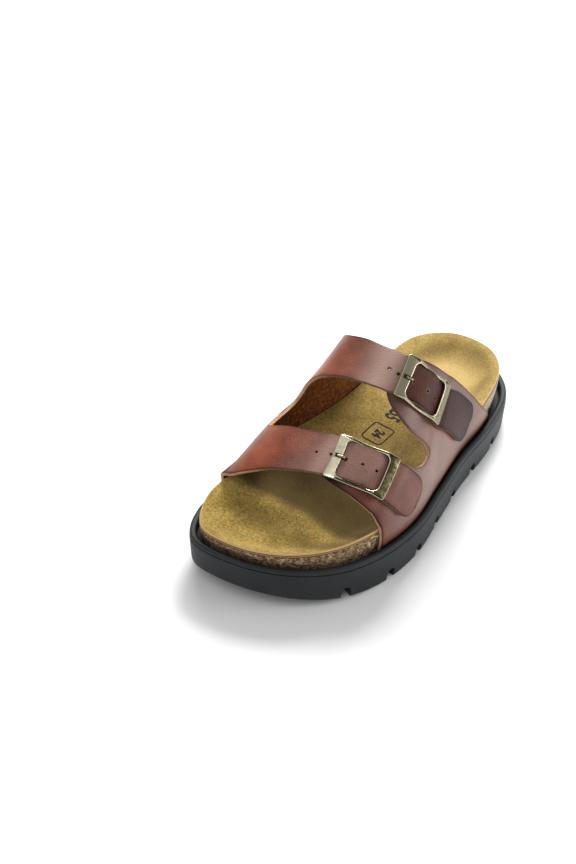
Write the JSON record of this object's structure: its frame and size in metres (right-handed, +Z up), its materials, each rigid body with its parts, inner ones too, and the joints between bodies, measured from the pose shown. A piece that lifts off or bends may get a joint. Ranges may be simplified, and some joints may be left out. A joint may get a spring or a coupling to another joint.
{
  "type": "sandal",
  "caption": "Cork footbed sandal for the left foot: leather upper with buckled front and rear straps, suede insole, moulded cork body and black lug sole with toe spring.",
  "frame": {"origin": "middle of the sole's outline, on the floor", "axes": "+Z up from the floor, -Y to the toe, +Y to the heel, +X to the outer side of the left foot"},
  "size_m": [0.1085, 0.25, 0.1027],
  "materials": {
    "rubber": "matt black with a faint sheen",
    "cork": "pressed cork granulate with dark and light grains",
    "suede": "napped golden suede",
    "leather": "antiqued reddish brown, waxed, with a peach cut edge",
    "brass": "antique brass with brighter worn edges"
  },
  "bodies": {
    "root": {"outsole": "rubber", "cork_footbed": "cork", "suede_insole": "suede", "upper_medial": "leather", "upper_lateral": "leather", "buckle_front": "brass", "buckle_rear": "brass", "prong_front": "brass", "prong_rear": "brass"}
  },
  "joints": []
}
